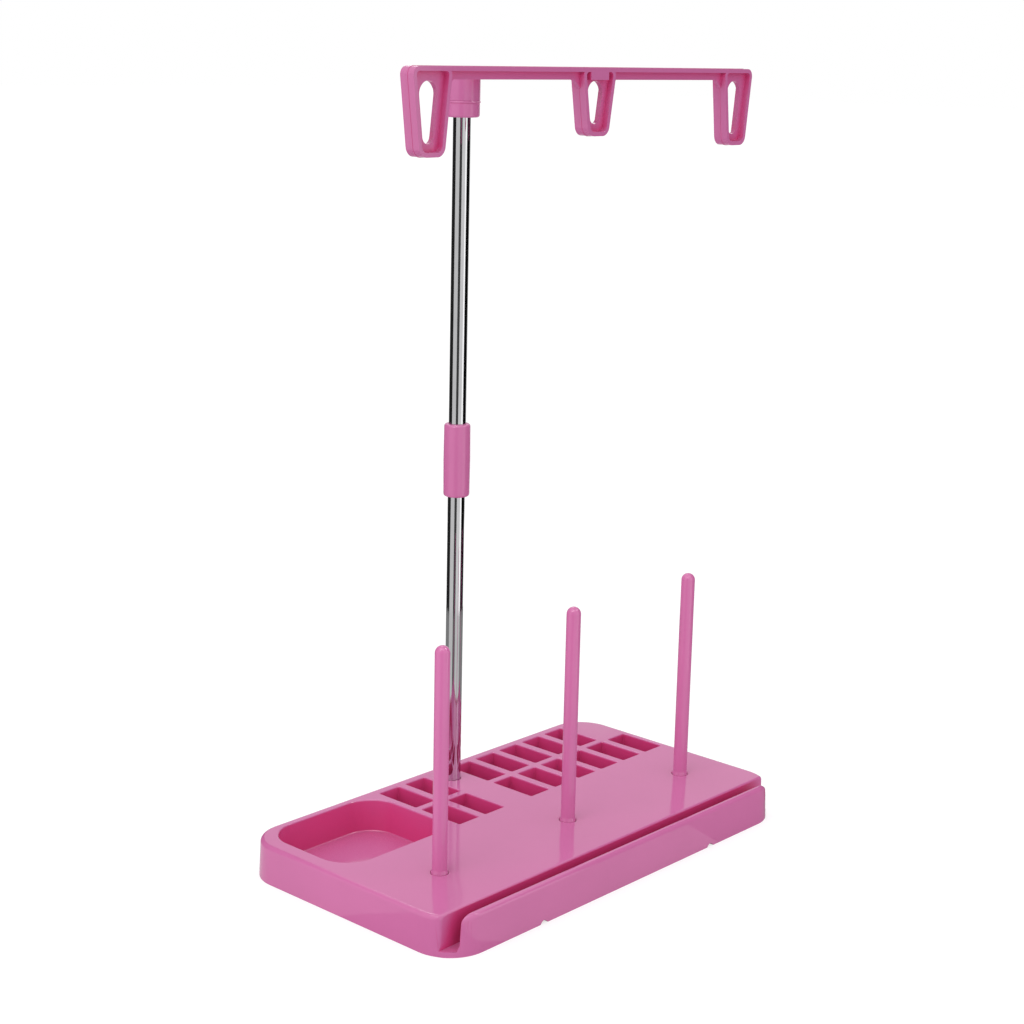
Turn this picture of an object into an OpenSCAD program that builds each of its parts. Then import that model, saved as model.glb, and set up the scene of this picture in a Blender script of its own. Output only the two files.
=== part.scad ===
// Thread rack: a moulded base with bobbin pockets carries three spool pins
// and a two-piece steel mast, with a swivelling thread guide on top.
// Millimetres, +Z up. The origin is the bottom centre of the base.
// The front, where the pattern groove runs, is on the -Y side.

/* [Base] */
// Length of the base at its foot, along X
base_l = 229; // [200:1:290]
// Width of the base at its foot, along Y
base_w = 129; // [112:1:180]
// Height of the base
base_h = 17.5; // [13:0.5:30]
// Radius of the upright corners at the foot
corner_r = 18.5; // [17:0.5:26]
// Radius of the rounded upper rim
rim_r = 2; // [1:0.5:4]
// Lean of the outer walls from upright, in degrees
draft_a = 2.5; // [0.5:0.5:3]
// Thickness of the side and back walls
wall_t = 2.2; // [1.5:0.1:3]
// Thickness of the top plate
plate_t = 2.5; // [1.8:0.1:3]
// Height of the pocket and socket floors above the table
floor_z = 2.5; // [2:0.5:4]
// Thickness of the pocket floors
floor_t = 1.8; // [1.2:0.1:2]

/* [Bobbin pockets] */
// Distance from one pocket to the next, along X
pocket_pitch = 17; // [15.6:0.1:22]
// Width of a pocket, along X
pocket_w = 12.4; // [9:0.1:13]
// Length of a pocket, along Y
pocket_l = 24; // [18:0.5:28]
// Space between the front and back rows
row_gap = 3.9; // [3.4:0.1:8]
// Radius of the pocket corners
pocket_r = 0.5; // [0.4:0.1:2]
// Thickness of the walls that hang round a pocket
pocket_wall = 1.6; // [1:0.1:1.6]
// Distance of the back row from the back edge of the foot
pocket_back = 6; // [5:0.5:12]
// Plate left between the last column and the end of the foot
pocket_end = 4.5; // [4.2:0.1:12]
// Columns on the tray side of the mast
left_columns = 2; // [1:1:3]
// Columns that the back row lacks at the round corner
corner_columns = 1; // [1:1:2]

/* [Tray] */
// Radius of the tray's corners
tray_r = 15; // [8:1:18]
// Radius between the tray's wall and floor
tray_floor_r = 1; // [1:0.5:4]
// Lean of the tray's walls from upright, in degrees
tray_draft_a = 3; // [1:0.5:5]
// Distance of the tray from the left end of the foot
tray_end = 8.9; // [6:0.1:20]
// Distance of the tray from the back edge of the foot
tray_back = 4.9; // [4.5:0.1:10]
// Plate left between the tray and the first pocket
tray_gap = 3.9; // [3.5:0.1:8]

/* [Groove] */
// Width of the groove
groove_w = 5.5; // [5:0.5:8]
// Thickness of the rail in front of the groove, at its foot
rail_t = 4; // [3.5:0.5:6]
// Thickness of the wall behind the groove
groove_wall = 2; // [1.5:0.1:3]
// Distance between the two notches under the front edge
notch_pitch = 116; // [80:1:150]
// Radius of a notch
notch_r = 2.3; // [1.5:0.1:3]
// Height of a notch above the table
notch_h = 1.5; // [1:0.1:1.8]

/* [Spool pins] */
// Distance from one pin to the next
pin_pitch = 83; // [70:1:90]
// Distance of the pins from the front edge of the foot
pin_front = 40.3; // [32:0.1:45]
// Whole length of a pin
pin_l = 115.5; // [80:0.5:150]
// Diameter of a pin
pin_d = 6.5; // [5:0.1:7.2]
// Diameter of the pin's foot in its socket
pin_foot_d = 7.4; // [7.2:0.1:9]
// Height of the cone between the foot and the pin, above the plate
pin_cone_h = 1.5; // [0.8:0.1:4]
// Outer diameter of a pin's socket under the plate
pin_boss_d = 12; // [11:0.5:13]

/* [Mast] */
// Distance of the mast from the middle of the base, to the right
mast_x = 2.8; // [0:0.1:6]
// Distance of the mast from the back edge of the foot
mast_back = 15.4; // [12:0.1:25]
// Clear plate from the mast's axis to the pockets beside it
mast_clear = 9.5; // [9:0.1:14]
// Diameter of both steel tubes
tube_d = 8; // [6:0.5:10]
// Wall of the steel tubes
tube_t = 0.8; // [0.5:0.1:1.5]
// Length of the lower tube
lower_tube_l = 169.5; // [120:0.5:220]
// Length of the upper tube
upper_tube_l = 171; // [120:0.5:220]
// Outer diameter of the mast's socket under the plate
mast_boss_d = 13; // [12:0.5:14]
// Length of the coupler
coupler_l = 34; // [24:1:44]
// Diameter of the coupler at its waist
coupler_d = 12.4; // [12.2:0.1:15]
// Diameter of the coupler at its ends
coupler_end_d = 12.1; // [11.8:0.1:14]
// Thickness of the stop ring between the two tubes
stop_t = 2; // [1:0.5:4]

/* [Swivel] */
// Diameter of the bush below the bead
bush_d = 15.8; // [14:0.1:18]
// Height of the bush below the bead
bush_h = 6.2; // [4:0.1:10]
// Diameter of the bead
bead_d = 16.5; // [15:0.1:19]
// Height of the bead
bead_h = 1; // [0.6:0.1:2]
// Diameter of the spigot that the guide turns on
spigot_d = 11; // [10.4:0.1:12]
// Height of the spigot above the bead
spigot_h = 11.5; // [8:0.5:20]
// Thickness of the spigot's closed end
spigot_end_t = 1.5; // [1:0.1:3]
// Diameter of the boss at the end of the guide's arm
boss_d = 16; // [15:0.1:20]
// Thickness of the boss's roof
boss_roof_t = 2.5; // [1.5:0.1:4]

/* [Thread guide] */
// Turn of the guide on the mast, in degrees
guide_turn = 2; // [-180:1:180]
// Length of the guide's bar
bar_l = 226; // [190:1:260]
// Depth of the bar's flange, along Y
bar_d = 7; // [6:0.1:10]
// Height of the bar
bar_h = 5; // [4:0.1:8]
// Thickness of the flange and of the rims round the loops
flange_t = 1.8; // [1.2:0.1:2.4]
// Thickness of the web
web_t = 2; // [1.4:0.1:3]
// Drop of the end loops below the top of the bar
end_loop_h = 34; // [28:0.5:44]
// Drop of the middle loop below the top of the bar
mid_loop_h = 28; // [26:0.5:44]
// Half width of an end loop where its sides would meet the bar's top
end_loop_top = 11.2; // [9.5:0.1:13]
// Half width of an end loop where its sides would meet its bottom
end_loop_foot = 7; // [6.8:0.1:10]
// Half width of the middle loop where its sides would meet the bar's top
mid_loop_top = 11.3; // [9.5:0.1:13]
// Half width of the middle loop where its sides would meet its bottom
mid_loop_foot = 6.7; // [6.4:0.1:10]
// Outer radius of the loops' bottom corners
loop_r = 4.5; // [3:0.1:5]
// Outer radius of the bar's top corners
bar_r = 3.3; // [2:0.1:5]
// Web left between the bar's underside and a thread slot
slot_gap = 0.4; // [0.2:0.1:2]
// Radius of the thread slot at its top
slot_top_r = 5; // [3:0.1:5.5]
// Radius of the thread slot at its bottom
slot_foot_r = 3; // [2.2:0.1:3.4]
// Distance from the bottom of a thread slot to the bottom of its loop
slot_rise = 4.9; // [3:0.1:8]
// Width of the seam that the mould leaves round the bar and loops
seam_w = 0.6; // [0.3:0.1:1.2]
// Height of that seam
seam_h = 0.15; // [0.05:0.05:0.3]
// Size of the gussets between the web and the loops
gusset = 3.5; // [2:0.1:5]
// Width of the socket block in the middle of the bar
block_w = 12; // [11:0.5:16]
// Width of the guide's arm
arm_w = 10; // [9:0.1:11]
// Drop of the arm's top below the top of the bar
arm_drop = 1.6; // [0:0.1:1.8]
// Length of the solid end of the arm, against the bar
arm_end_l = 6; // [3:0.5:12]
// Width of the tongue on the end of the arm
tongue_w = 8; // [5:0.1:9]
// Height of the tongue
tongue_h = 2; // [1.5:0.1:2.1]
// Drop of the tongue's top below the top of the bar
tongue_drop = 1.9; // [1.8:0.1:2]
// Length of the tongue
tongue_l = 5; // [3:0.1:5.2]

/* [Hidden] */
$fn = 64;

pink = [0.80, 0.42, 0.63];
steel = [0.74, 0.75, 0.77];

// Radial clearance of every tube, pin and spigot in its bore
fit = 0.05;
// Play round the arm's tongue in the bar
tongue_play = 0.1;
// Play over the end of the spigot inside the boss
end_play = 0.3;
// How far a cut runs past the face that it opens
over = 1;
// Thickness and drop of the ribs under the plate
rib_t = 1.6;
rib_h = 9;
// Rounding of the coupler's and bush's free edges
edge_r = 1.2;
// Smallest rounding inside the rim
least_r = 0.3;
// Longest turn, in degrees, between two points of the guide's outlines
arc_step = 7.5;

inner_rim_r = max(least_r, rim_r - wall_t / 2);
mast_y = base_w / 2 - mast_back;
pin_y = pin_front - base_w / 2;
reach = mast_y - pin_y;
groove_y = rail_t - base_w / 2;
beam_y = groove_y + groove_w + groove_wall;
back_row_y = base_w / 2 - pocket_back - pocket_l;
front_row_y = back_row_y - row_gap - pocket_l;
right_x = mast_x + mast_clear;
left_x = mast_x - mast_clear - pocket_w - (left_columns - 1) * pocket_pitch;
right_room = base_l / 2 - pocket_end - right_x;
right_columns = floor((right_room + pocket_pitch - pocket_w) / pocket_pitch);
tray_x0 = tray_end - base_l / 2;
tray_x1 = left_x - tray_gap;
tray_y1 = base_w / 2 - tray_back;

pin_x = [mast_x - pin_pitch, mast_x, mast_x + pin_pitch];
pin_hole_r = pin_foot_d / 2 + fit;

tube_hole_r = tube_d / 2 + fit;
stop_z = floor_z + lower_tube_l;
upper_tube_z = stop_z + stop_t;
coupler_z = stop_z + stop_t / 2 - coupler_l / 2;
upper_tube_top = upper_tube_z + upper_tube_l;
spigot_top = upper_tube_top + spigot_end_t;
bead_top = spigot_top - spigot_h;
bush_z = bead_top - bead_h - bush_h;
boss_top = spigot_top + end_play + boss_roof_t;
bar_top = boss_top + arm_drop;
loop_lean = (end_loop_top - end_loop_foot) / end_loop_h;
loop_pitch = bar_l / 2 - end_loop_top + loop_lean * bar_r;

// Pockets of the mast side as [x, y] of their lower left corners
pockets = concat(
    [for (c = [0 : left_columns - 1], y = [front_row_y, back_row_y])
        [left_x + c * pocket_pitch, y]],
    [for (c = [0 : right_columns - 1]) [right_x + c * pocket_pitch, front_row_y]],
    [for (c = [0 : right_columns - 1 - corner_columns])
        [right_x + c * pocket_pitch, back_row_y]]);

// Loops of the guide as [middle x, drop, half width at top, half width at foot]
loops = [
    [-loop_pitch, end_loop_h, end_loop_top, end_loop_foot],
    [0, mid_loop_h, mid_loop_top, mid_loop_foot],
    [loop_pitch, end_loop_h, end_loop_top, end_loop_foot]];

// Wall section from a corner's axis outwards: a leaning wall of height h that
// starts r from the axis and ends in an edge rounded by e.
module wall_section(r, h, lean, e) {
    cx = r - (e + (h - e) * sin(lean)) / cos(lean);
    cy = h - e;
    polygon([[0, 0], [r, 0], [cx + e * cos(lean), cy + e * sin(lean)],
             [cx, cy], [cx, h], [0, h]]);
    translate([cx, cy]) circle(r = e);
}

// Block with round upright corners, leaning walls and a rounded edge at its
// far end. The section is turned round each corner and drawn along each side.
module leaning_block(l, w, r, h, lean, e) {
    sx = l / 2 - r;
    sy = w / 2 - r;
    translate([-sx, -sy, 0]) cube([2 * sx, 2 * sy, h]);
    for (corner = [[sx, sy, 0], [-sx, sy, 90], [-sx, -sy, 180], [sx, -sy, 270]])
        translate([corner[0], corner[1], 0])
            rotate([0, 0, corner[2]])
                rotate_extrude(angle = 90) wall_section(r, h, lean, e);
    for (side = [0, 180]) rotate([0, 0, side]) {
        translate([sx, sy, 0])
            rotate([90, 0, 0]) linear_extrude(2 * sy) wall_section(r, h, lean, e);
        translate([-sx, sy, 0])
            rotate([90, 0, 90]) linear_extrude(2 * sx) wall_section(r, h, lean, e);
    }
}

// Flat outline of a rectangle with round corners, from its lower left corner
module round_rect(l, w, r) {
    translate([r, 0]) square([l - 2 * r, w]);
    translate([0, r]) square([l, w - 2 * r]);
    for (x = [r, l - r], y = [r, w - r]) translate([x, y]) circle(r = r);
}

// One part of the base that hangs under the plate round a pocket
module pocket_cup(x, y) {
    translate([x - pocket_wall, y - pocket_wall, floor_z - floor_t])
        linear_extrude(base_h - plate_t / 2 - floor_z + floor_t)
            round_rect(pocket_w + 2 * pocket_wall, pocket_l + 2 * pocket_wall,
                       pocket_r + pocket_wall);
}

module tray_space(grow, z, h) {
    l = tray_x1 - tray_x0 + 2 * grow;
    w = tray_y1 - front_row_y + 2 * grow;
    translate([(tray_x0 + tray_x1) / 2, (tray_y1 + front_row_y) / 2, z + h])
        mirror([0, 0, 1])
            leaning_block(l, w, tray_r + grow, h, tray_draft_a, tray_floor_r);
}

module ribs() {
    z = base_h - plate_t / 2 - rib_h;
    for (x = pin_x)
        translate([x - rib_t / 2, beam_y - over, z])
            cube([rib_t, front_row_y - beam_y + 2 * over, rib_h]);
    translate([wall_t / 2 - base_l / 2, pin_y - rib_t / 2, z])
        cube([base_l - wall_t, rib_t, rib_h]);
}

module base_shell() {
    color(pink) difference() {
        union() {
            difference() {
                leaning_block(base_l, base_w, corner_r, base_h, draft_a, rim_r);
                // Open underside behind the groove's beam
                intersection() {
                    translate([0, 0, -over])
                        leaning_block(base_l - 2 * wall_t, base_w - 2 * wall_t,
                                      corner_r - wall_t, base_h - plate_t + over,
                                      draft_a, inner_rim_r);
                    translate([-base_l / 2, beam_y, -over])
                        cube([base_l, base_w, base_h]);
                }
            }
            intersection() {
                leaning_block(base_l - wall_t, base_w - wall_t, corner_r - wall_t / 2,
                              base_h - plate_t / 2, draft_a, inner_rim_r);
                union() {
                    for (p = pockets) pocket_cup(p[0], p[1]);
                    tray_space(pocket_wall, floor_z - floor_t,
                               base_h - plate_t / 2 - floor_z + floor_t);
                    for (x = pin_x)
                        translate([x, pin_y, floor_z - floor_t])
                            cylinder(d = pin_boss_d, h = base_h - floor_z);
                    translate([mast_x, mast_y, floor_z - floor_t])
                        cylinder(d = mast_boss_d, h = base_h - floor_z);
                    ribs();
                }
            }
        }
        for (p = pockets)
            translate([p[0], p[1], floor_z])
                linear_extrude(base_h) round_rect(pocket_w, pocket_l, pocket_r);
        tray_space(0, floor_z, base_h - floor_z + over);
        translate([-base_l / 2 - over, groove_y, floor_z])
            cube([base_l + 2 * over, groove_w, base_h]);
        for (x = pin_x)
            translate([x, pin_y, floor_z]) cylinder(r = pin_hole_r, h = base_h);
        translate([mast_x, mast_y, floor_z]) cylinder(r = tube_hole_r, h = base_h);
        for (x = [-notch_pitch / 2, notch_pitch / 2])
            translate([x, -base_w / 2 - over, notch_h - notch_r])
                rotate([-90, 0, 0])
                    cylinder(r = notch_r, h = base_w / 2 + beam_y + 2 * over);
    }
}

// Pin with a thicker foot in its socket, a short cone over it and a domed tip
module spool_pin(x) {
    foot_h = base_h - floor_z;
    tip_z = pin_l - pin_d / 2;
    color(pink) translate([x, pin_y, floor_z]) {
        cylinder(d = pin_foot_d, h = foot_h);
        translate([0, 0, foot_h]) cylinder(d1 = pin_foot_d, d2 = pin_d, h = pin_cone_h);
        cylinder(d = pin_d, h = tip_z);
        translate([0, 0, tip_z]) sphere(d = pin_d);
    }
}

module tube(z, l) {
    color(steel) translate([mast_x, mast_y, z]) difference() {
        cylinder(d = tube_d, h = l);
        translate([0, 0, -over]) cylinder(d = tube_d - 2 * tube_t, h = l + 2 * over);
    }
}

module mast_lower_tube() {
    tube(floor_z, lower_tube_l);
}

module mast_upper_tube() {
    tube(upper_tube_z, upper_tube_l);
}

// Half of the coupler's outside, from its waist to one end
module coupler_half_section() {
    half = coupler_l / 2;
    end_r = coupler_end_d / 2;
    polygon([[0, 0], [coupler_d / 2, 0], [end_r, half - edge_r],
             [end_r - edge_r, half], [0, half]]);
    translate([end_r - edge_r, half - edge_r]) circle(r = edge_r);
}

module mast_coupler() {
    half = coupler_l / 2;
    socket_l = half - stop_t / 2;
    color(pink) translate([mast_x, mast_y, coupler_z + half]) difference() {
        for (side = [0, 1]) mirror([0, 0, side])
            rotate_extrude() coupler_half_section();
        cylinder(d = tube_d - 2 * tube_t, h = coupler_l, center = true);
        translate([0, 0, -half - over]) cylinder(r = tube_hole_r, h = socket_l + over);
        translate([0, 0, stop_t / 2]) cylinder(r = tube_hole_r, h = socket_l + over);
    }
}

// Cap on the mast's end with a bead and a spigot for the guide
module swivel_bush() {
    color(pink) translate([mast_x, mast_y, bush_z]) difference() {
        union() {
            translate([0, 0, edge_r]) cylinder(d = bush_d, h = bush_h - edge_r);
            cylinder(d = bush_d - 2 * edge_r, h = bush_h);
            translate([0, 0, edge_r]) rotate_extrude()
                translate([bush_d / 2 - edge_r, 0]) circle(r = edge_r);
            translate([0, 0, bush_h]) cylinder(d = bead_d - bead_h, h = bead_h);
            translate([0, 0, bush_h + bead_h / 2]) rotate_extrude()
                translate([(bead_d - bead_h) / 2, 0]) circle(d = bead_h);
            translate([0, 0, bush_h]) cylinder(d = spigot_d, h = bead_h + spigot_h);
        }
        translate([0, 0, -over])
            cylinder(r = tube_hole_r, h = upper_tube_top - bush_z + over);
    }
}

// Draws the guide's pieces from the mast's axis, turned to their place. In
// here the bar's middle plane lies at y = -reach and its top at height 0.
module on_mast() {
    translate([mast_x, mast_y, bar_top]) rotate([0, 0, guide_turn]) children();
}

// The tongue on the arm, or with some play the socket for it in the bar
module tongue(play, open) {
    l = tongue_l + play;
    h = tongue_h + 2 * play;
    translate([-tongue_w / 2 - play, bar_d / 2 - reach - l, play - tongue_drop - h])
        cube([tongue_w + 2 * play, l + open, h]);
}

// Boss and arm that carry the bar. The arm is a flange over a web.
module guide_arm() {
    end_y = bar_d / 2 - reach;
    arm_h = bar_h - arm_drop;
    color(pink) on_mast() difference() {
        union() {
            translate([0, 0, bead_top - bar_top])
                cylinder(d = boss_d, h = boss_top - bead_top);
            translate([-arm_w / 2, end_y, -arm_drop - flange_t])
                cube([arm_w, -end_y, flange_t]);
            translate([-web_t / 2, end_y, -bar_h]) cube([web_t, -end_y, arm_h]);
            translate([-arm_w / 2, end_y, -bar_h]) cube([arm_w, arm_end_l, arm_h]);
            tongue(0, over);
        }
        translate([0, 0, bead_top - bar_top - over])
            cylinder(d = spigot_d + 2 * fit, h = spigot_h + end_play + over);
    }
}

// Points of an arc round c with radius r, from angle a0 to a1
function arc(c, r, a0, a1) = let (n = ceil((a1 - a0) / arc_step))
    [for (k = [0 : n]) let (a = a0 + (a1 - a0) * k / n) c + r * [cos(a), sin(a)]];

// Outline of a loop in the bar's plane, drawn inwards by i all round. Its
// sides lean, its corners are arcs, and the bar's top is at height 0.
module loop_outline(loop, i) {
    lean = atan((loop[2] - loop[3]) / loop[1]);
    foot_x = loop[3] + loop_r * tan(lean) - loop_r / cos(lean);
    top_x = loop[2] - bar_r * tan(lean) - bar_r / cos(lean);
    foot_z = loop_r - loop[1];
    polygon(concat(arc([foot_x, foot_z], loop_r - i, -90, -lean),
                   arc([top_x, -bar_r], bar_r - i, -lean, 90),
                   arc([-top_x, -bar_r], bar_r - i, 90, 180 + lean),
                   arc([-foot_x, foot_z], loop_r - i, 180 + lean, 270)));
}

// Thread slot: two arcs, the larger on top, joined by their tangents
module slot_outline(loop) {
    top_z = -bar_h - slot_gap - slot_top_r;
    foot_z = slot_rise + slot_foot_r - loop[1];
    a = asin((slot_top_r - slot_foot_r) / (top_z - foot_z));
    polygon(concat(arc([0, foot_z], slot_foot_r, 180 + a, 360 - a),
                   arc([0, top_z], slot_top_r, -a, 180 + a)));
}

// Gussets in the web's plane, from the underside of the bar to a loop's sides
module gusset_outline(loop) {
    lean = (loop[2] - loop[3]) / loop[1];
    side = loop[2] - lean * bar_h;
    low = side - lean * gusset;
    polygon([[-side - gusset, -bar_h], [side + gusset, -bar_h],
             [low, -bar_h - gusset], [-low, -bar_h - gusset]]);
}

// Draws its children upright in the plane of the bar, with the given thickness
module in_bar_plane(t) {
    translate([0, t / 2 - reach, 0]) rotate([90, 0, 0]) linear_extrude(t) children();
}

// Outline of the bar between the end loops, h deep and standing up by rise
module bar_strip(h, rise = 0) {
    translate([-loop_pitch, -h]) square([2 * loop_pitch, h + rise]);
}

// Draws its children at the middle of each loop
module at_loops() {
    for (loop = loops) translate([loop[0], 0]) {
        $loop = loop;
        children();
    }
}

module guide_bar() {
    color(pink) on_mast() difference() {
        union() {
            in_bar_plane(web_t) difference() {
                union() {
                    bar_strip(bar_h);
                    intersection() {
                        at_loops() gusset_outline($loop);
                        bar_strip(end_loop_h);
                    }
                    at_loops() loop_outline($loop, 0);
                }
                at_loops() slot_outline($loop);
            }
            in_bar_plane(seam_w) difference() {
                union() {
                    bar_strip(bar_h, seam_h);
                    at_loops() loop_outline($loop, -seam_h);
                }
                at_loops() slot_outline($loop);
            }
            in_bar_plane(bar_d) {
                bar_strip(flange_t);
                translate([-block_w / 2, -bar_h]) square([block_w, bar_h]);
                at_loops() difference() {
                    loop_outline($loop, 0);
                    loop_outline($loop, flange_t);
                }
            }
        }
        tongue(tongue_play, over);
    }
}

base_shell();
spool_pin(pin_x[0]);  // spool_pin_left
spool_pin(pin_x[1]);  // spool_pin_middle
spool_pin(pin_x[2]);  // spool_pin_right
mast_lower_tube();
mast_coupler();
mast_upper_tube();
swivel_bush();
guide_arm();
guide_bar();
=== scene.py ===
"""Thread rack: a pink moulded base with bobbin pockets, three spool pins and a
steel mast with a swivelling thread guide. Lengths are in metres, +Z is up and
the front of the rack, where the groove runs, is on the -Y side."""
import math

import bmesh
import bpy
import numpy as np
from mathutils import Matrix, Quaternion, Vector


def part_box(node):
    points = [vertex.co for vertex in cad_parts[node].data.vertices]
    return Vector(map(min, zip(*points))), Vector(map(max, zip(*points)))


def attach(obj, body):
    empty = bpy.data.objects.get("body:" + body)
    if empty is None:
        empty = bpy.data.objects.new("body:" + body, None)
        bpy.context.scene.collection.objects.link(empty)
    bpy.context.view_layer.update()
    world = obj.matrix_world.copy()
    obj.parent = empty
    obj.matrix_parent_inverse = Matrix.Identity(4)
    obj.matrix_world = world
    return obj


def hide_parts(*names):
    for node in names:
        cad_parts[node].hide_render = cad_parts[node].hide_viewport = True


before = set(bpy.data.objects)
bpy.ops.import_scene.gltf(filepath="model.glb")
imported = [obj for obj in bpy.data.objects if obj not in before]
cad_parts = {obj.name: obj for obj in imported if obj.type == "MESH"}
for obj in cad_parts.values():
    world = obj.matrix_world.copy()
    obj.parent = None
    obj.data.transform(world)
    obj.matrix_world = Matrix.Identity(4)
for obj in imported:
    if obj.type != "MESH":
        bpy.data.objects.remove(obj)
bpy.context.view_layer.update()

MM = 0.001

# Camera, fitted to the photograph
CAMERA_AT = Vector((-0.6332, -0.5625, 0.3586))
CAMERA_AZIMUTH = math.radians(-47.805)
CAMERA_ELEVATION = math.radians(13.383)
CAMERA_ROLL = math.radians(1.2545)
CAMERA_LENS = 68.75

# Colours as linear light: the dye in the open, painted shade in hollows, darker painted shade deep in them,
# and the tubes' steel
PINK = (0.60, 0.156, 0.366)
SHADED_PINK = (0.68, 0.055, 0.230)
DARK_SHADED_PINK = (0.55, 0.042, 0.170)
STEEL = (0.64, 0.64, 0.65)
WHITE = (1, 1, 1, 1)

# Roundings on the edges: the mouths in the plate, the groove's ends and floor, the base's other edges, and
# the guide and fittings
MOUTH_EDGE = 0.7 * MM
GROOVE_END_EDGE = 1.5 * MM
GROOVE_FLOOR_EDGE = 0.4 * MM
BASE_EDGE = 0.25 * MM
GUIDE_EDGE = 0.22 * MM
# The base's outside: half its length and width, the plate's height, its corners, its rim's rounding, the
# larger one at the noses of the front rail, and how far its walls lean
BASE_HALF = np.array(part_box("base_shell")[1])[:2]
PLATE_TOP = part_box("base_shell")[1].z
CORNER = 18.5 * MM
RIM = 2 * MM
RAIL_NOSE = 3.5 * MM
LEAN = math.radians(2.5)
# The groove: where its walls lie along Y, and the height of its floor
GROOVE_WALLS = (-60.5 * MM, -55 * MM)
GROOVE_FLOOR = 2.5 * MM
# The tray: two corners of its wide end, how far above the plate that lies, its round corners, the lean of its
# walls, and the rounding round its floor in the CAD and as it is seen
TRAY = (-105.6 * MM, 6.6 * MM), (-40 * MM, 59.6 * MM)
TRAY_ABOVE = 1 * MM
TRAY_CORNER = 15 * MM
TRAY_LEAN = math.radians(3)
TRAY_FLOOR_EDGE = 1 * MM
TRAY_FLOOR_SEEN = 0.3 * MM
# The pins and tubes: radius of a pin, height of the cone over its foot, and the tubes' wall and deburred edge
PIN_RADIUS = 3.25 * MM
PIN_CONE = 1.5 * MM
TUBE_WALL = 0.8 * MM
TUBE_BURR = 0.25 * MM
# Cuts that shape_base makes: how far they lie from the groove's edges, their places across X on both sides of
# the middle, and their heights over the groove's floor at its ends
CUTS_BESIDE = np.array([0.07, 0.16, 0.28, 0.44, 0.64, 0.9, 1.2, 1.6, 2.1]) * MM
CUTS_ACROSS = np.concatenate([[97, 98.5, 100, 101.3], np.arange(102.5, 108, 0.4),
                              np.arange(108, 112.6, 0.3)]) * MM
CUTS_ABOVE = np.array([0.3, 0.7, 1.2, 1.8, 2.5]) * MM
# The groove's ends begin this far from the middle, and its rounding ends this far behind it
GROOVE_ENDS_FROM = 99 * MM
GROOVE_REACH = 2.2 * MM
# Nearer than this, a point lies on a skin or two points are one, and nearer than the second, it lies in a wall
TOUCHING = 0.0005 * MM
IN_WALL = 0.002 * MM
# Two faces that meet at less than this are one smooth surface
SMOOTH_BELOW = math.radians(32)
# Points round a turned piece, and steps along a card
TURN_STEPS = 96
CARD_STEPS = 24
# Distance of the high cards in metres, and half the floor's side
HIGH_CARD_AT = 1.6
FLOOR_HALF = 12.0


def shader_node(tree, kind, **settings):
    """Adds a node. A setting named like a socket fills or links that socket, and any other is an attribute."""
    node = tree.nodes.new(kind)
    for name, value in settings.items():
        socket = node.inputs.get(name.replace("_", " "))
        if socket is None:
            setattr(node, name, value)
        elif isinstance(value, bpy.types.NodeSocket):
            tree.links.new(value, socket)
        else:
            socket.default_value = value
    return node


def new_material(name):
    """An empty material and its node tree."""
    material = bpy.data.materials.new(name)
    material.use_nodes = True
    material.node_tree.nodes.clear()
    return material, material.node_tree


def finish_material(material, tree, surface):
    """Joins the surface to the material's output."""
    output = tree.nodes.new("ShaderNodeOutputMaterial")
    tree.links.new(surface, output.inputs["Surface"])
    return material


def noise(tree, coordinates, size, detail=2.0, roughness=0.5):
    """Noise whose features are about the given size in metres."""
    return shader_node(tree, "ShaderNodeTexNoise", Vector=coordinates, Scale=1 / size,
                       Detail=detail, Roughness=roughness).outputs["Fac"]


def remap(tree, value, low, high, source=(0.3, 0.7)):
    """Turns the range of the source, by default the middle of a noise, into low to high."""
    return shader_node(tree, "ShaderNodeMapRange", Value=value, From_Min=source[0], From_Max=source[1],
                       To_Min=low, To_Max=high).outputs["Result"]


def blend(tree, share, first, second):
    """Mixes two colours, each a socket or three numbers: all first at share 0 and all second at share 1."""
    node = shader_node(tree, "ShaderNodeMix", data_type="RGBA", Factor=share)
    for socket, colour in ((node.inputs[6], first), (node.inputs[7], second)):
        if isinstance(colour, bpy.types.NodeSocket):
            tree.links.new(colour, socket)
        else:
            socket.default_value = [*colour, 1]
    return node.outputs[2]


def combine(tree, operation, a, b):
    """One value from two."""
    node = shader_node(tree, "ShaderNodeMath", operation=operation)
    tree.links.new(a, node.inputs[0])
    tree.links.new(b, node.inputs[1])
    return node.outputs[0]


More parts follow.
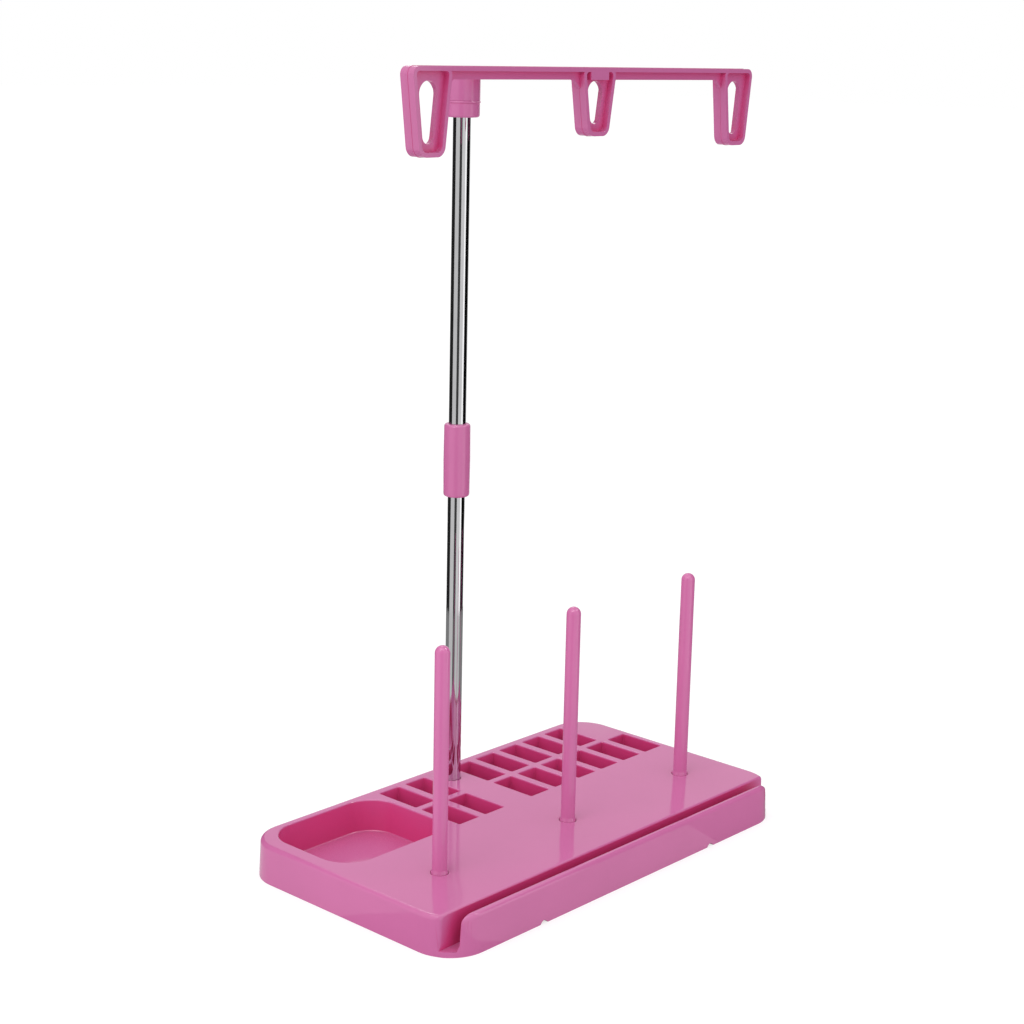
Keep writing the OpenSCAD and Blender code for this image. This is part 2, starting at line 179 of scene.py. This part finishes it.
def moulded_plastic(name, gloss, waviness, hollow_size=60 * MM, hollow_range=(0.50, 0.92), tint=1.0):
    """Glossy dyed plastic. The dye clouds a little over some centimetres. Hollows get painted shade: their
    colour is mixed towards a deeper, darker pink, less on faces that look up. The gloss is duller in hollows
    and has faint rubbed patches and hair scratches, and the skin has a fine peel over slow sink marks."""
    material, tree = new_material(name)
    place = tree.nodes.new("ShaderNodeTexCoord").outputs["Object"]
    cloud = noise(tree, place, 45 * MM, 3)
    dye = blend(tree, remap(tree, cloud, 0, 1), [c * tint * 0.975 for c in PINK],
                [c * tint * 1.025 for c in PINK])
    # Painted shade from the piece's own ambient occlusion: hollows get a deeper, darker pink, and faces that
    # look up get less
    openness = shader_node(tree, "ShaderNodeAmbientOcclusion", only_local=True, samples=8,
                           Distance=hollow_size)
    facing = shader_node(tree, "ShaderNodeSeparateXYZ",
                         Vector=tree.nodes.new("ShaderNodeTexCoord").outputs["Normal"])
    steep = remap(tree, facing.outputs["Z"], 1, 0.3, (0.2, 0.95))
    painted_shade_share = combine(tree, "MULTIPLY", remap(tree, openness.outputs["AO"], 1, 0, hollow_range), steep)
    painted_shade_colour = blend(tree, remap(tree, openness.outputs["AO"], 1, 0, (0.06, 0.32)), SHADED_PINK, DARK_SHADED_PINK)
    colour = blend(tree, painted_shade_share, dye, painted_shade_colour)
    rubbed = noise(tree, place, 14 * MM, 4, 0.65)
    stretched = shader_node(tree, "ShaderNodeMapping", Vector=place, Rotation=(0.3, 0.2, 0.7),
                            Scale=(1.0, 0.03, 0.05))
    scratch = noise(tree, stretched.outputs["Vector"], 0.35 * MM, 2)
    roughness = combine(tree, "ADD", remap(tree, rubbed, gloss * 0.88, gloss * 1.12),
                        remap(tree, scratch, 0, 0.03, (0.62, 0.72)))
    roughness = combine(tree, "ADD", roughness, remap(tree, openness.outputs["AO"], 0.25, 0, (0.45, 0.8)))
    peel = shader_node(tree, "ShaderNodeBump", Strength=1.0, Distance=0.0005 * MM,
                       Height=noise(tree, place, 1.1 * MM, 2))
    sink = shader_node(tree, "ShaderNodeBump", Strength=1.0, Distance=waviness,
                       Height=noise(tree, place, 16 * MM, 1), Normal=peel.outputs["Normal"])
    surface = shader_node(tree, "ShaderNodeBsdfPrincipled", Base_Color=colour, Roughness=roughness,
                          IOR=1.49, Normal=sink.outputs["Normal"])
    return finish_material(material, tree, surface.outputs["BSDF"])


def drawn_steel(name):
    """Polished stainless tube, with draw lines along its length and faint finger smears in its gloss."""
    material, tree = new_material(name)
    place = tree.nodes.new("ShaderNodeTexCoord").outputs["Object"]
    along = shader_node(tree, "ShaderNodeMapping", Vector=place, Scale=(1.0, 1.0, 0.004))
    lines = noise(tree, along.outputs["Vector"], 0.25 * MM, 3)
    smear = noise(tree, place, 11 * MM, 4, 0.6)
    roughness = combine(tree, "ADD", remap(tree, smear, 0.045, 0.075), remap(tree, lines, 0, 0.02))
    bump = shader_node(tree, "ShaderNodeBump", Strength=1.0, Distance=0.0006 * MM, Height=lines)
    tint = blend(tree, remap(tree, smear, 0, 1), [c * 0.97 for c in STEEL], [c * 1.03 for c in STEEL])
    surface = shader_node(tree, "ShaderNodeBsdfPrincipled", Base_Color=tint, Metallic=1.0,
                          Roughness=roughness, Normal=bump.outputs["Normal"])
    return finish_material(material, tree, surface.outputs["BSDF"])


def mesh_object(name, vertices, faces, material):
    """A new piece from points, faces and one material."""
    mesh = bpy.data.meshes.new(name)
    mesh.from_pydata(vertices.tolist(), [], faces)
    mesh.validate()
    mesh.materials.append(material)
    piece = bpy.data.objects.new(name, mesh)
    bpy.context.scene.collection.objects.link(piece)
    return piece


def smooth(piece):
    """Smooth shading, broken at the piece's sharp edges."""
    piece.data.shade_smooth()
    piece.data.set_sharp_from_angle(angle=SMOOTH_BELOW)


def outside_block(p, half, corner, height, lean, rim):
    """How far each point stands out of a block with leaning walls. A leaning line, a rim arc and the flat top
    are carried round a rounded rectangle: with rho the distance from the rectangle through the corners'
    centres, the wall is at (rho - corner + z tan lean) cos lean = 0 and the arc is rim from its own centre."""
    side = np.abs(p[:, :2]) - (half - corner)
    rho = np.linalg.norm(np.maximum(side, 0), axis=1) + np.minimum(side.max(1), 0)
    z = p[:, 2]
    wall = (rho - corner + z * math.tan(lean)) * math.cos(lean)
    centre_z = height - rim
    out = rho - (corner - centre_z * math.tan(lean) - rim / math.cos(lean))
    up = z - centre_z
    on_arc = (up * math.cos(lean) > out * math.sin(lean)) & (out > 0)
    return np.where(on_arc, np.hypot(out, up) - rim, np.maximum(wall, z - height))


def outside_wall(p):
    """How far each point stands out of the base's outer skin. The rim's rounding grows from RIM to
    RAIL_NOSE at both ends of the rail in front of the groove."""
    at_nose = ease((np.abs(p[:, 0]) - 97 * MM) / (7 * MM)) * (p[:, 1] < np.mean(GROOVE_WALLS))
    return outside_block(p, BASE_HALF, CORNER, PLATE_TOP, LEAN, RIM + (RAIL_NOSE - RIM) * at_nose)


def outside_tray(p, floor_edge):
    """How far each point is beyond the tray's wall or floor, with the given rounding between them. The tray
    is a block turned over, and its floor is as high as the groove's."""
    low, high = TRAY
    turned_over = np.stack([p[:, 0] - (low[0] + high[0]) / 2, p[:, 1] - (low[1] + high[1]) / 2,
                            PLATE_TOP + TRAY_ABOVE - p[:, 2]], 1)
    return outside_block(turned_over, (np.array(high) - low) / 2, TRAY_CORNER,
                         PLATE_TOP + TRAY_ABOVE - GROOVE_FLOOR, TRAY_LEAN, floor_edge)


def inside_groove(p):
    """How far each point is inside the groove's straight slot."""
    middle, half = np.mean(GROOVE_WALLS), np.ptp(GROOVE_WALLS) / 2
    return np.minimum(half - np.abs(p[:, 1] - middle), p[:, 2] - GROOVE_FLOOR)


def ease(x):
    """Smooth step: 3 x^2 - 2 x^3 from 0 to 1."""
    x = np.clip(x, 0, 1)
    return x * x * (3 - 2 * x)


def groove_rounding(p):
    """Rounding of the groove's edge near each point: small at its floor, large at its ends and that of
    the other mouths along the plate."""
    side = np.abs(p[:, :2]) - (BASE_HALF - CORNER)
    inwards = CORNER - np.linalg.norm(np.maximum(side, 0), axis=1) - np.minimum(side.max(1), 0)
    at_end = 1 - ease((inwards - 1 * MM) / (3.5 * MM))
    large = MOUTH_EDGE + (GROOVE_END_EDGE - MOUTH_EDGE) * at_end
    return GROOVE_FLOOR_EDGE + (large - GROOVE_FLOOR_EDGE) * ease((p[:, 2] - GROOVE_FLOOR) / (2.5 * MM))


def rounded_skin(p):
    """Distance from the skin with the groove's edges rounded by r: with a and b the distances out of the
    wall and into the groove, it is |(r + a, r + b)| - r where both are above -r."""
    a, b, r = outside_wall(p), inside_groove(p), groove_rounding(p)
    near = np.hypot(np.maximum(r + a, 0), np.maximum(r + b, 0))
    return np.minimum(np.maximum(a, b), -r) + near


def pressed(p, distance):
    """Points moved onto a skin: p loses d g / |g|^2 eight times, with d the distance and g its slope."""
    step = 0.001 * MM
    for _ in range(8):
        d = distance(p)
        slope = np.stack([distance(p + step * axis) - distance(p - step * axis)
                          for axis in np.eye(3)], 1) / (2 * step)
        p = p - (d / np.maximum((slope ** 2).sum(1), 0.1))[:, None] * slope
    return p


def on_outer_skin(p):
    """Which points lie on the base's outer skin, above its foot. It still has its plain rim at the noses."""
    off = np.maximum(outside_wall(p), inside_groove(p)) / MM
    return (off > -0.03) & (off < 0.9) & (p[:, 2] > 0.3 * MM)


def cut_skin(work, places, axis, within):
    """Cuts the faces of the outer skin that a test allows with planes across an axis."""
    for place in places:
        p = np.array([v.co for v in work.verts])
        allowed = on_outer_skin(p) & within(p)
        work.verts.index_update()
        faces = [f for f in work.faces if all(allowed[v.index] for v in f.verts)]
        geometry = list({g for f in faces for g in (*f.verts, *f.edges)}) + faces
        plane = np.zeros(3)
        plane[axis] = place
        bmesh.ops.bisect_plane(work, geom=geometry, dist=TOUCHING, plane_co=plane, plane_no=np.eye(3)[axis])


def shape_base(work):
    """Rounds the groove's edges and tightens the rounding of the tray's floor: fine cuts beside the groove's
    edges, and then the points of both pressed onto the skin that is seen."""
    front, rear = GROOVE_WALLS
    anywhere = lambda p: np.full(len(p), True)
    in_wall = lambda p: np.min([np.abs(p[:, 1] - wall) for wall in GROOVE_WALLS], axis=0) < IN_WALL
    in_front = lambda p: in_wall(p) | (p[:, 1] < front + IN_WALL)
    by_groove = lambda p: p[:, 1] < rear + GROOVE_REACH
    at_end = lambda p: (np.abs(p[:, 0]) > GROOVE_ENDS_FROM) & by_groove(p)
    cut_skin(work, [front - t for t in CUTS_BESIDE] + [rear + t for t in CUTS_BESIDE], 1, anywhere)
    cut_skin(work, [PLATE_TOP - t for t in CUTS_BESIDE], 2, in_wall)
    cut_skin(work, [sign * x for sign in (-1, 1) for x in CUTS_ACROSS], 0, in_front)
    cut_skin(work, GROOVE_FLOOR + CUTS_ABOVE, 2, at_end)
    p = np.array([v.co for v in work.verts])
    near = on_outer_skin(p) & by_groove(p) & (rounded_skin(p) > TOUCHING)
    moved = p.copy()
    moved[near] = pressed(p[near], rounded_skin)
    seen = lambda q: outside_tray(q, TRAY_FLOOR_SEEN)
    round_floor = (seen(p) < -TOUCHING) & (np.abs(outside_tray(p, TRAY_FLOOR_EDGE)) < 0.02 * MM)
    moved[round_floor] = pressed(p[round_floor], seen)
    for vertex, place in zip(work.verts, moved):
        vertex.co = place


def all_edges_alike(edge):
    """Share of the rounding for an edge of a piece whose edges are all rounded the same."""
    return 1.0


def stands_for(piece, node, body):
    """The piece moves with a body and hides a CAD node."""
    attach(piece, body)
    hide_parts(node)


def axis_of(node):
    """Where the upright axis of a round CAD node stands."""
    low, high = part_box(node)
    return ((low + high) / 2).xy


def softened(node, body, slot, width, name, share=all_edges_alike, first=None):
    """A copy of a CAD node that stands for it. A first step may change its mesh, and then its sharp edges
    are rounded to the given width times the share that a function gives each edge."""
    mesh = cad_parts[node].data.copy()
    mesh.name = name
    work = bmesh.new()
    work.from_mesh(mesh)
    bmesh.ops.remove_doubles(work, verts=work.verts, dist=IN_WALL)
    bmesh.ops.dissolve_limit(work, angle_limit=math.radians(0.5), verts=work.verts, edges=work.edges)
    if first is not None:
        first(work)
        work.normal_update()
    weight = work.edges.layers.float.new("bevel_weight_edge")
    for edge in work.edges:
        if len(edge.link_faces) == 2 and edge.calc_face_angle() > SMOOTH_BELOW:
            edge[weight] = share(edge)
    work.to_mesh(mesh)
    work.free()
    mesh.materials.clear()
    mesh.materials.append(plastic[slot])
    piece = bpy.data.objects.new(name, mesh)
    bpy.context.scene.collection.objects.link(piece)
    smooth(piece)
    bevel = piece.modifiers.new("rounding", "BEVEL")
    bevel.width = width
    bevel.segments = 4
    bevel.limit_method = "WEIGHT"
    bevel.use_clamp_overlap = share is all_edges_alike
    bevel.loop_slide = False
    bevel.harden_normals = True
    stands_for(piece, node, body)


def base_rounding(edge):
    """Share of the mouths' rounding for an edge of the base: the mouths of the pockets, tray and sockets
    take all of it, the groove has its own, and the rest is nearly sharp."""
    first, second = (v.co for v in edge.verts)
    if edge.calc_face_angle_signed() < 0 or max(first.y, second.y) < GROOVE_WALLS[1] + MM:
        return 0.0
    if PLATE_TOP - min(first.z, second.z) < 0.02 * MM:
        return 1.0
    return BASE_EDGE / MOUTH_EDGE


def rounded_profile(corners):
    """Points of a profile of (radius, height, rounding) corners. Each corner is replaced by an arc that
    touches both of its sides: its points are centre + rounding * (cos t, sin t)."""
    corners = np.array(corners, float)
    points = []
    for i, (r, z, e) in enumerate(corners):
        here = np.array((r, z))
        if e == 0 or i in (0, len(corners) - 1):
            points.append(here[None])
            continue
        back = corners[i - 1, :2] - here
        ahead = corners[i + 1, :2] - here
        back /= np.linalg.norm(back)
        ahead /= np.linalg.norm(ahead)
        half = math.acos(np.clip(back @ ahead, -1, 1)) / 2
        middle = (back + ahead) / np.linalg.norm(back + ahead)
        centre = here + middle * e / math.sin(half)
        start = here + back * e / math.tan(half) - centre
        end = here + ahead * e / math.tan(half) - centre
        turn = math.atan2(start[0] * end[1] - start[1] * end[0], start @ end)
        steps = max(3, math.ceil(abs(turn) / math.radians(11)))
        t = math.atan2(start[1], start[0]) + turn * np.linspace(0, 1, steps + 1)
        points.append(centre + e * np.stack([np.cos(t), np.sin(t)], 1))
    return np.concatenate(points)


def turned(name, axis, profile, material, closed=False):
    """Surface of revolution: point (i, j) is the axis plus radius_j * (cos a_i, sin a_i) at height z_j.
    An open profile starts and ends on the axis, and a closed one is a ring's section."""
    a = np.linspace(0, 2 * math.pi, TURN_STEPS, endpoint=False)[:, None]
    r, z = profile[None, :, 0], profile[None, :, 1]
    grid = np.stack([axis[0] + r * np.cos(a), axis[1] + r * np.sin(a), z + 0 * a], 2)
    rows = len(profile)
    i = np.arange(TURN_STEPS)[:, None]
    j = np.arange(rows if closed else rows - 1)[None]
    ahead = (i + 1) % TURN_STEPS
    over = (j + 1) % rows
    faces = np.stack([i * rows + j, ahead * rows + j, ahead * rows + over, i * rows + over], 2)
    piece = mesh_object(name, grid.reshape(-1, 3), faces.reshape(-1, 4).tolist(), material)
    work = bmesh.new()
    work.from_mesh(piece.data)
    bmesh.ops.remove_doubles(work, verts=work.verts, dist=TOUCHING)
    bmesh.ops.recalc_face_normals(work, faces=work.faces)
    work.to_mesh(piece.data)
    work.free()
    smooth(piece)
    return piece


plastic = {
    "base_pink": moulded_plastic("base plastic", 0.10, 0.006 * MM),
    "pin_pink": moulded_plastic("pin plastic", 0.16, 0.003 * MM, tint=1.06),
    "fittings_pink": moulded_plastic("fittings plastic", 0.22, 0.004 * MM, tint=0.97),
    # The guide's tint of 0.92 darkens its pink as painted shade, and its 10 mm hollow reach and wide range
    # paint more shade into its recesses
    "guide_pink": moulded_plastic("guide plastic", 0.17, 0.006 * MM, 10 * MM, (0.38, 0.98), tint=0.92),
}
steel = drawn_steel("polished steel tube")


def spool_pin(side):
    """Straight pin with a thicker foot in its socket, a short cone over the foot and a round tip."""
    node = f"spool_pin_{side}"
    low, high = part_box(node)
    foot_r = (high.x - low.x) / 2
    r = PIN_RADIUS
    profile = rounded_profile([(0, low.z, 0), (foot_r, low.z, 0.4 * MM), (foot_r, PLATE_TOP, 0.2 * MM),
                               (r, PLATE_TOP + PIN_CONE, 0.8 * MM), (r, high.z, r * 0.999), (0, high.z, 0)])
    pin = turned(f"pin_{side}", axis_of(node), profile, plastic["pin_pink"])
    stands_for(pin, node, f"pin_{side}")


def tube(part):
    """Thin tube with deburred ends."""
    node = f"mast_{part}_tube"
    low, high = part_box(node)
    r = (high.x - low.x) / 2
    bore = r - TUBE_WALL
    middle = (low.z + high.z) / 2
    profile = rounded_profile([(bore, middle, 0), (bore, low.z, TUBE_BURR), (r, low.z, TUBE_BURR),
                               (r, high.z, TUBE_BURR), (bore, high.z, TUBE_BURR), (bore, middle + MM, 0)])
    piece = turned(f"{part}_tube", axis_of(node), profile, steel, closed=True)
    stands_for(piece, node, f"{part}_mast")


for side in ("left", "middle", "right"):
    spool_pin(side)
for part in ("lower", "upper"):
    tube(part)

softened("base_shell", "base", "base_pink", MOUTH_EDGE, "base", base_rounding, shape_base)
for node, body, slot, name in (("guide_arm", "guide", "guide_pink", "arm"),
                               ("guide_bar", "guide", "guide_pink", "bar"),
                               ("mast_coupler", "lower_mast", "fittings_pink", "coupler"),
                               ("swivel_bush", "bush", "fittings_pink", "bush")):
    softened(node, body, slot, GUIDE_EDGE, name)


def around(angle, distance, height=0.0):
    """A point at an angle in degrees from the camera's side, seen from above, round the mast."""
    a = CAMERA_AZIMUTH + math.radians(angle)
    centre = axis_of("mast_lower_tube")
    return Vector((centre.x + distance * math.sin(a), centre.y - distance * math.cos(a), height))


def see_background(tree):
    """1 for rays of the camera and for rays that gloss or glass sends on, else 0."""
    path = tree.nodes.new("ShaderNodeLightPath")
    either = combine(tree, "MAXIMUM", path.outputs["Is Camera Ray"], path.outputs["Is Glossy Ray"])
    return combine(tree, "MAXIMUM", either, path.outputs["Is Transmission Ray"])


def as_seen(tree, unseen, seen):
    """One shader for light that only lights the rack, and another for the background that is seen."""
    mix = tree.nodes.new("ShaderNodeMixShader")
    tree.links.new(see_background(tree), mix.inputs[0])
    tree.links.new(unseen.outputs[0], mix.inputs[1])
    tree.links.new(seen.outputs[0], mix.inputs[2])
    return mix.outputs[0]


def white_world(light):
    """White to the eye, and an even dome of light of the given strength to everything else."""
    world = bpy.data.worlds.new("studio")
    bpy.context.scene.world = world
    world.use_nodes = True
    tree = world.node_tree
    tree.nodes.clear()
    dome = shader_node(tree, "ShaderNodeBackground", Color=WHITE, Strength=light)
    white = shader_node(tree, "ShaderNodeBackground", Color=WHITE, Strength=1.0)
    output = tree.nodes.new("ShaderNodeOutputWorld")
    tree.links.new(as_seen(tree, dome, white), output.inputs["Surface"])


def pale_floor():
    """Pale floor that scatters light as paper does. To the eye it is as white as the background and
    keeps the rack's shadow."""
    material, tree = new_material("floor")
    paper = shader_node(tree, "ShaderNodeBsdfDiffuse", Color=(0.84, 0.84, 0.84, 1))
    shade = shader_node(tree, "ShaderNodeBsdfDiffuse", Color=(0.42, 0.42, 0.42, 1))
    glow = shader_node(tree, "ShaderNodeEmission", Color=WHITE, Strength=0.66)
    seen = tree.nodes.new("ShaderNodeAddShader")
    tree.links.new(shade.outputs[0], seen.inputs[0])
    tree.links.new(glow.outputs[0], seen.inputs[1])
    finish_material(material, tree, as_seen(tree, paper, seen))
    corners = np.array([(-1, -1, 0), (1, -1, 0), (1, 1, 0), (-1, 1, 0)]) * FLOOR_HALF
    mesh_object("floor", corners, [(0, 1, 2, 3)], material)


def glowing_card(name, corners, faces, strength):
    """A card of even light that only gloss sees."""
    material, tree = new_material(name)
    glow = shader_node(tree, "ShaderNodeEmission", Color=WHITE, Strength=strength)
    finish_material(material, tree, glow.outputs[0])
    piece = mesh_object(name, corners, faces, material)
    piece.visible_camera = False
    piece.visible_diffuse = False
    piece.visible_shadow = False
    piece.visible_transmission = False


def card(name, start, end, section, strength):
    """A card bent round the mast: point (i, j) is at angle_i and at the distance and height of point j of
    the section."""
    angles = np.linspace(start, end, CARD_STEPS + 1)
    points = np.array([around(a, distance, z) for a in angles for distance, z in section])
    faces = np.arange(CARD_STEPS)[:, None] * 2 + np.array([0, 2, 3, 1])
    glowing_card(name, points, faces.tolist(), strength)


def high_card(name, angle, elevation, size, strength):
    """A bright square high over the rack. Its corners are its centre plus or minus half its size along two
    directions across the line to the plate."""
    e = math.radians(elevation)
    centre = around(angle, HIGH_CARD_AT * math.cos(e), HIGH_CARD_AT * math.sin(e))
    along = (Vector((0, 0, 0.1)) - centre).normalized()
    right = along.cross(Vector((0, 0, 1))).normalized() * size / 2
    up = right.cross(along).normalized() * size / 2
    corners = np.array([centre + i * right + j * up for i, j in ((-1, -1), (1, -1), (1, 1), (-1, 1))])
    glowing_card(name, corners, [(0, 1, 2, 3)], strength)


def soft_lamp(name, place, target, size, power):
    """A square lamp of some watts that faces its target."""
    lamp = bpy.data.lights.new(name, "AREA")
    lamp.shape = "RECTANGLE"
    lamp.size, lamp.size_y = size
    lamp.energy = power
    holder = bpy.data.objects.new(name, lamp)
    bpy.context.scene.collection.objects.link(holder)
    holder.location = place
    holder.rotation_euler = (Vector(target) - Vector(place)).to_track_quat("-Z", "Y").to_euler()


def camera():
    """The camera that was fitted to the photograph."""
    data = bpy.data.cameras.new("camera")
    data.lens = CAMERA_LENS
    data.sensor_width = 36
    data.clip_start = 0.01
    data.clip_end = 100
    holder = bpy.data.objects.new("camera", data)
    bpy.context.scene.collection.objects.link(holder)
    back = Vector((math.sin(CAMERA_AZIMUTH) * math.cos(CAMERA_ELEVATION),
                   -math.cos(CAMERA_AZIMUTH) * math.cos(CAMERA_ELEVATION), math.sin(CAMERA_ELEVATION)))
    level = (-back).to_track_quat("-Z", "Y")
    holder.location = CAMERA_AT
    holder.rotation_mode = "QUATERNION"
    holder.rotation_quaternion = level @ Quaternion((0, 0, 1), CAMERA_ROLL)
    bpy.context.scene.camera = holder


camera()
white_world(0.92)
pale_floor()
# Cards that the steel and the gloss mirror: two angles in degrees from the camera's side, a section as
# distances and heights, and a strength
STANDING = ((0.36, 0), (0.36, 0.42))
STANDING_BACK = ((0.42, 0.05), (0.42, 0.33))
LYING = ((0.09, 0.0003), (0.36, 0.0003))
for name, start, end, section, strength in (
        ("dark card left", -150, -74, STANDING, 0.02),
        ("pale card left", -74, -20, STANDING, 0.75),
        ("dark card camera", -20, 11, STANDING, 0.06),
        ("pale card right", 11, 55, STANDING, 0.85),
        ("bright card right", 55, 76, STANDING, 1.5),
        ("dark card right", 76, 142, STANDING, 0.005),
        ("grey card back", 142, 210, STANDING_BACK, 0.74),
        ("grey sheet behind", 76, 286, LYING, 0.28),
        ("pale sheet left", -74, -20, LYING, 0.70),
        ("grey sheet camera", -20, 11, LYING, 0.15),
        ("pale sheet right", 11, 76, LYING, 0.70)):
    card(name, start, end, section, strength)
# Cards high over the rack: angle, elevation, side and strength
for name, angle, elevation, size, strength in (
        ("wide card above", -10, 62, 1.7, 2.2),
        ("small card left", -25, 61, 0.30, 12),
        ("small card right", 88, 52, 0.30, 14),
        ("small card behind", 186, 45, 0.36, 4.5)):
    high_card(name, angle, elevation, size, strength)
soft_lamp("key", around(-38, 1.4, 1.5), (0, 0, 0.12), (1.2, 1.2), 9)

bpy.context.scene.view_settings.view_transform = "Standard"

bpy.context.view_layer.update()
